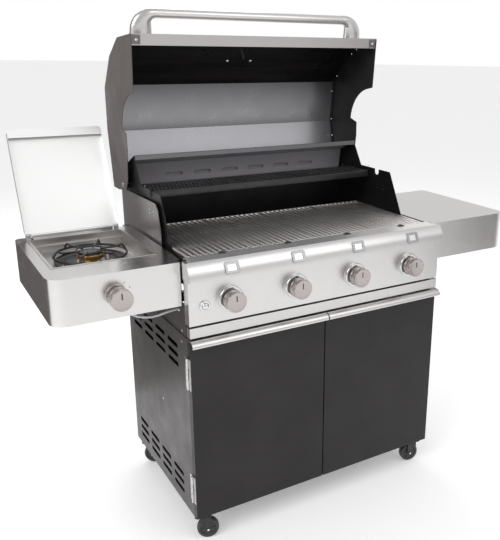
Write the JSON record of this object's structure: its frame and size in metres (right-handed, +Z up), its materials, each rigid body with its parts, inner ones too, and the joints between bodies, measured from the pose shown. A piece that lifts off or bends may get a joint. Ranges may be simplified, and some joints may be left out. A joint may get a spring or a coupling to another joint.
{
  "type": "gas barbecue grill",
  "caption": "Cabinet gas barbecue on casters with a lift-up hood, a row of burners, a lidded side burner on the left shelf and two cabinet doors",
  "frame": {"origin": "on the floor under the middle of the whole object's box, with the hood and the side lid open", "axes": "+X to the user's right when facing the grill, +Y to the back, +Z up"},
  "size_m": [1.64, 0.7598, 1.6187],
  "materials": {
    "brushed_stainless": "brushed",
    "polished_stainless": "polished",
    "grey_enamel": "satin",
    "dark_door_enamel": "satin",
    "black_enamel": "gloss",
    "shelf_steel": "fine brushed",
    "chrome": "polished",
    "zinc": "bright zinc",
    "grate_steel": "satin",
    "galvanised": "matt",
    "brass": "machined",
    "black_cap": "enamelled",
    "window_glass": "clear",
    "dial_glass": "clear",
    "hose_rubber": "matt",
    "caster_plastic": "moulded"
  },
  "bodies": {
    "cart": {"base_pan": "grey_enamel", "side_panel_left": "grey_enamel", "side_panel_right": "grey_enamel", "back_panel": "galvanised", "cabinet_frame": "grey_enamel", "lower_fascia": "brushed_stainless", "door_hinges": "zinc", "control_panel": "brushed_stainless", "burner_window_frames": "chrome", "burner_windows": "window_glass", "knob_bezels": "chrome", "gas_manifold": "galvanised", "side_burner_hose": "hose_rubber", "burners": "grate_steel", "emitter_plates": "grate_steel", "firebox_shell": "grey_enamel", "firebox_liner": "black_enamel", "front_rail": "polished_stainless", "rail_clips": "caster_plastic", "shelf_left": "shelf_steel", "shelf_right": "shelf_steel", "side_bowl": "polished_stainless", "side_burner": "brass", "fasteners": "zinc"},
    "hood": {"hood_skin": "brushed_stainless", "hood_liner": "polished_stainless", "hood_cheeks": "grey_enamel", "hood_handle": "brushed_stainless", "thermometer": "chrome"},
    "side_lid": {"side_lid": "brushed_stainless"},
    "left_door": {"door_left": "dark_door_enamel", "door_trim_left": "brushed_stainless"},
    "right_door": {"door_right": "dark_door_enamel", "door_trim_right": "brushed_stainless"},
    "warming_rack": {"warming_rack": "grate_steel"},
    "grease_tray": {"grease_tray": "galvanised"},
    "pot_support": {"pot_support": "black_cap"},
    "igniter": {"igniter_button": "chrome"},
    "stem_1": {"valve_stem_1": "zinc"},
    "knob_1": {"knob_1": "brushed_stainless"},
    "stem_2": {"valve_stem_2": "zinc"},
    "knob_2": {"knob_2": "brushed_stainless"},
    "stem_3": {"valve_stem_3": "zinc"},
    "knob_3": {"knob_3": "brushed_stainless"},
    "stem_4": {"valve_stem_4": "zinc"},
    "knob_4": {"knob_4": "brushed_stainless"},
    "side_stem": {"side_valve_stem": "zinc"},
    "side_knob": {"side_knob": "brushed_stainless"},
    "grate_1": {"cooking_grate_1": "grate_steel"},
    "grate_2": {"cooking_grate_2": "grate_steel"},
    "grate_3": {"cooking_grate_3": "grate_steel"},
    "grate_4": {"cooking_grate_4": "grate_steel"},
    "fork_1": {"caster_fork_1": "caster_plastic"},
    "wheel_1": {"caster_wheel_1": "caster_plastic"},
    "fork_2": {"caster_fork_2": "caster_plastic"},
    "wheel_2": {"caster_wheel_2": "caster_plastic"},
    "fork_3": {"caster_fork_3": "caster_plastic"},
    "wheel_3": {"caster_wheel_3": "caster_plastic"},
    "fork_4": {"caster_fork_4": "caster_plastic"},
    "wheel_4": {"caster_wheel_4": "caster_plastic"}
  },
  "joints": [
    {"name": "hood_hinge", "type": "hinge", "parent": "cart", "child": "hood", "pos_m": [0, 0.23108, 1.056], "axis": [-1, 0, 0], "range_deg": [-84, 0]},
    {"name": "side_lid_hinge", "type": "hinge", "parent": "cart", "child": "side_lid", "pos_m": [-0.6455, 0.15908, 0.936], "axis": [-1, 0, 0], "range_deg": [-115, 0]},
    {"name": "left_door_hinge", "type": "hinge", "parent": "cart", "child": "left_door", "pos_m": [-0.464, -0.31292, 0.391], "axis": [0, 0, -1], "range_deg": [0, 110]},
    {"name": "right_door_hinge", "type": "hinge", "parent": "cart", "child": "right_door", "pos_m": [0.464, -0.31292, 0.391], "axis": [0, 0, 1], "range_deg": [0, 110]},
    {"name": "warming_rack_lift", "type": "slide", "parent": "cart", "child": "warming_rack", "axis": [0, 0, 1], "range_m": [0, 0.05]},
    {"name": "grease_tray_slide", "type": "slide", "parent": "cart", "child": "grease_tray", "axis": [0, 1, 0], "range_m": [0, 0.34]},
    {"name": "pot_support_lift", "type": "slide", "parent": "cart", "child": "pot_support", "axis": [0, 0, 1], "range_m": [0, 0.06]},
    {"name": "igniter_push", "type": "slide", "parent": "cart", "child": "igniter", "axis": [0, 1, 0], "range_m": [0, 0.003], "stiffness_N_per_m": 600},
    {"name": "knob_1_turn", "type": "hinge", "parent": "cart", "child": "stem_1", "pos_m": [-0.33, -0.35292, 0.806], "axis": [0, -1, 0], "range_deg": [0, 210]},
    {"name": "knob_1_push", "type": "slide", "parent": "stem_1", "child": "knob_1", "axis": [0, 1, 0], "range_m": [0, 0.003], "stiffness_N_per_m": 600},
    {"name": "knob_2_turn", "type": "hinge", "parent": "cart", "child": "stem_2", "pos_m": [-0.11, -0.35292, 0.806], "axis": [0, -1, 0], "range_deg": [0, 210]},
    {"name": "knob_2_push", "type": "slide", "parent": "stem_2", "child": "knob_2", "axis": [0, 1, 0], "range_m": [0, 0.003], "stiffness_N_per_m": 600},
    {"name": "knob_3_turn", "type": "hinge", "parent": "cart", "child": "stem_3", "pos_m": [0.11, -0.35292, 0.806], "axis": [0, -1, 0], "range_deg": [0, 210]},
    {"name": "knob_3_push", "type": "slide", "parent": "stem_3", "child": "knob_3", "axis": [0, 1, 0], "range_m": [0, 0.003], "stiffness_N_per_m": 600},
    {"name": "knob_4_turn", "type": "hinge", "parent": "cart", "child": "stem_4", "pos_m": [0.33, -0.35292, 0.806], "axis": [0, -1, 0], "range_deg": [0, 210]},
    {"name": "knob_4_push", "type": "slide", "parent": "stem_4", "child": "knob_4", "axis": [0, 1, 0], "range_m": [0, 0.003], "stiffness_N_per_m": 600},
    {"name": "side_knob_turn", "type": "hinge", "parent": "cart", "child": "side_stem", "pos_m": [-0.645, -0.31292, 0.857], "axis": [0, -1, 0], "range_deg": [0, 210]},
    {"name": "side_knob_push", "type": "slide", "parent": "side_stem", "child": "side_knob", "axis": [0, 1, 0], "range_m": [0, 0.003], "stiffness_N_per_m": 600},
    {"name": "grate_1_lift", "type": "slide", "parent": "cart", "child": "grate_1", "axis": [0, 0, 1], "range_m": [0, 0.08]},
    {"name": "grate_2_lift", "type": "slide", "parent": "cart", "child": "grate_2", "axis": [0, 0, 1], "range_m": [0, 0.08]},
    {"name": "grate_3_lift", "type": "slide", "parent": "cart", "child": "grate_3", "axis": [0, 0, 1], "range_m": [0, 0.08]},
    {"name": "grate_4_lift", "type": "slide", "parent": "cart", "child": "grate_4", "axis": [0, 0, 1], "range_m": [0, 0.08]},
    {"name": "caster_1_swivel", "type": "hinge", "parent": "cart", "child": "fork_1", "pos_m": [-0.437, -0.29692, 0.1], "axis": [0, 0, 1], "continuous": true},
    {"name": "caster_1_roll", "type": "hinge", "parent": "fork_1", "child": "wheel_1", "pos_m": [-0.41445, -0.30512, 0.035], "axis": [0.342, 0.9397, 0], "continuous": true},
    {"name": "caster_2_swivel", "type": "hinge", "parent": "cart", "child": "fork_2", "pos_m": [0.437, -0.29692, 0.1], "axis": [0, 0, 1], "continuous": true},
    {"name": "caster_2_roll", "type": "hinge", "parent": "fork_2", "child": "wheel_2", "pos_m": [0.41352, -0.29193, 0.035], "axis": [-0.2079, -0.9781, 0], "continuous": true},
    {"name": "caster_3_swivel", "type": "hinge", "parent": "cart", "child": "fork_3", "pos_m": [-0.437, 0.20708, 0.1], "axis": [0, 0, 1], "continuous": true},
    {"name": "caster_3_roll", "type": "hinge", "parent": "fork_3", "child": "wheel_3", "pos_m": [-0.41862, 0.19166, 0.035], "axis": [0.6428, 0.766, 0], "continuous": true},
    {"name": "caster_4_swivel", "type": "hinge", "parent": "cart", "child": "fork_4", "pos_m": [0.437, 0.20708, 0.1], "axis": [0, 0, 1], "continuous": true},
    {"name": "caster_4_roll", "type": "hinge", "parent": "fork_4", "child": "wheel_4", "pos_m": [0.41445, 0.21529, 0.035], "axis": [-0.342, -0.9397, 0], "continuous": true}
  ]
}
